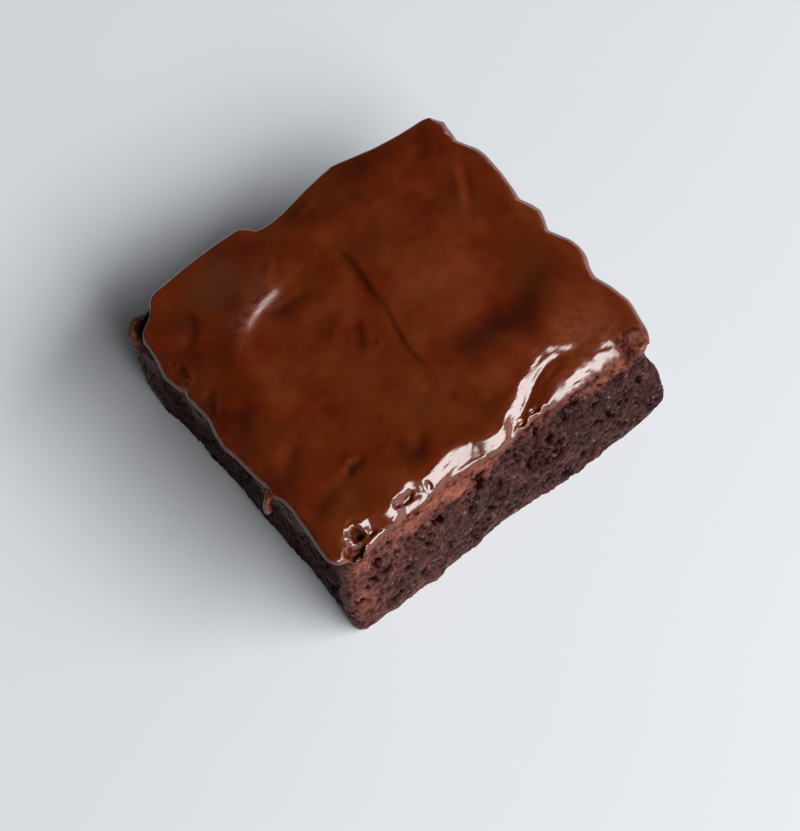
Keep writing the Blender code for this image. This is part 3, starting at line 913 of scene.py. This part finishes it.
right_part = smooth((side_x + 14) / 8) * on_front * (1 - smeared)
pale = 0.5 + 0.22 * drift(*spots.T, 3.5, 31.0) + 0.2 * drift(*spots.T, 0.9, 33.0)
pale = pale - 0.2 * right_part - 0.1 * smooth((8 - level) / 6)
paint_side("open", np.clip(np.maximum(hollow / 0.6, 1.2 * pores), 0, 1))
paint_side("grain", np.clip(pale, 0, 1))
paint_side("smeared", smeared)
paint_side("left_painted_shade", left_painted_shade)

# Baked chocolate sponge, cut and torn: the eye gets a matt, nearly black brown with moist glints, pale
# specks painted in as more glints, painted shade in its open pores and on its left side, and a redder,
# paler skin where the knife has smeared it.
SPECK_SIZE, SPECK_HEIGHT = 5 / 11, 0.2  # millimetres
DOT_SIZE, GLINT_SPECK_SIZE = 2 / 3, 1.0
MOIST_SPECULAR = 0.14

tree = sponge_material.node_tree
spot = add_node(tree, "ShaderNodeTexCoord").outputs["Object"]
hole = add_node(tree, "ShaderNodeAttribute", attribute_name="open").outputs["Fac"]
grain = add_node(tree, "ShaderNodeAttribute", attribute_name="grain").outputs["Fac"]
smear = add_node(tree, "ShaderNodeAttribute", attribute_name="smeared").outputs["Fac"]
specks = add_node(
    tree,
    "ShaderNodeTexNoise",
    {"Vector": spot, "Scale": scale_of(SPECK_SIZE), "Detail": 3.0, "Roughness": 0.6},
)
speckle = add_node(
    tree, "ShaderNodeMapRange", {"Value": specks.outputs["Fac"], 1: 0.3, 2: 0.7, 3: -0.35, 4: 0.35}
)
speckled = add_node(tree, "ShaderNodeMath", {0: grain, 1: speckle.outputs[0]}, operation="ADD")
browns = add_node(tree, "ShaderNodeValToRGB", {"Fac": speckled.outputs[0]})
browns.color_ramp.elements[0].position = 0.1
browns.color_ramp.elements[0].color = linear("#27110f")
browns.color_ramp.elements[1].position = 1.0
browns.color_ramp.elements[1].color = linear("#663a35")
middle = browns.color_ramp.elements.new(0.55)
middle.color = linear("#422321")
reds = add_node(tree, "ShaderNodeValToRGB", {"Fac": speckled.outputs[0]})
reds.color_ramp.elements[0].position = 0.1
reds.color_ramp.elements[0].color = linear("#4c2119")
reds.color_ramp.elements[1].position = 0.9
reds.color_ramp.elements[1].color = linear("#8a5040")
smeared_skin = add_node(
    tree,
    "ShaderNodeMix",
    {0: smear, 6: browns.outputs["Color"], 7: reds.outputs["Color"]},
    data_type="RGBA",
)
# Pores too small for the mesh: dark dots of painted shade, fewer where the skin is smeared. The real ones
# are down to a tenth of a millimetre, and these are as fine as shows.
dots = add_node(
    tree, "ShaderNodeTexVoronoi", {"Vector": spot, "Scale": scale_of(DOT_SIZE), "Randomness": 1.0}
)
dot_depth = add_node(
    tree, "ShaderNodeMapRange", {"Value": dots.outputs["Distance"], 1: 0.2, 2: 0.42, 3: 0.6, 4: 0.0}
)
dot_share = add_node(tree, "ShaderNodeMapRange", {"Value": smear, 1: 0.0, 2: 1.0, 3: 1.0, 4: 0.3})
dot = add_node(
    tree, "ShaderNodeMath", {0: dot_depth.outputs[0], 1: dot_share.outputs[0]}, operation="MULTIPLY"
)
hole_or_dot = add_node(tree, "ShaderNodeMath", {0: hole, 1: dot.outputs[0]}, operation="MAXIMUM")
# Pale specks here and there in the crumb: painted glints of the moist crumb.
glint_specks = add_node(
    tree, "ShaderNodeTexNoise", {"Vector": spot, "Scale": scale_of(GLINT_SPECK_SIZE), "Detail": 1.0}
)
glint_speck = add_node(
    tree, "ShaderNodeMapRange", {"Value": glint_specks.outputs["Fac"], 1: 0.66, 2: 0.76, 3: 0.0, 4: 0.5}
)
glinted = add_node(
    tree,
    "ShaderNodeMix",
    {0: glint_speck.outputs[0], 6: smeared_skin.outputs[2], 7: linear("#94706a")},
    data_type="RGBA",
)
# Painted shade in the pores and the dots.
painted_pore_shade = add_node(
    tree,
    "ShaderNodeMix",
    {0: hole_or_dot.outputs[0], 6: glinted.outputs[2], 7: linear("#190706")},
    data_type="RGBA",
)
# Painted shade on the left side.
left_shade = add_node(tree, "ShaderNodeAttribute", attribute_name="left_painted_shade").outputs["Fac"]
shaded_left_side = add_node(
    tree, "ShaderNodeMix", {0: left_shade, 6: painted_pore_shade.outputs[2], 7: linear("#240805")}, data_type="RGBA"
)
# Moist crumb glints; the pores and the left side with its painted shade glint less.
dry_left_side = add_node(tree, "ShaderNodeMath", {0: left_shade, 1: 0.75}, operation="MULTIPLY")
dry = add_node(
    tree, "ShaderNodeMath", {0: hole_or_dot.outputs[0], 1: dry_left_side.outputs[0]}, operation="MAXIMUM"
)
moist = add_node(
    tree, "ShaderNodeMapRange", {"Value": dry.outputs[0], 1: 0.0, 2: 0.8, 3: MOIST_SPECULAR, 4: 0.0}
)
fine = add_node(
    tree, "ShaderNodeMath", {0: specks.outputs["Fac"], 1: dot.outputs[0]}, operation="SUBTRACT"
)
bump = add_node(
    tree,
    "ShaderNodeBump",
    {"Height": fine.outputs[0], "Strength": 0.6, "Distance": SPECK_HEIGHT * MM},
)
finish = add_node(
    tree,
    "ShaderNodeBsdfPrincipled",
    {
        "Base Color": shaded_left_side.outputs[2],
        "Roughness": 0.5,
        "Specular IOR Level": moist.outputs[0],
        "Normal": bump.outputs[0],
    },
)
add_node(tree, "ShaderNodeOutputMaterial", {"Surface": finish.outputs[0]})
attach(sponge, "root")
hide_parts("sponge")
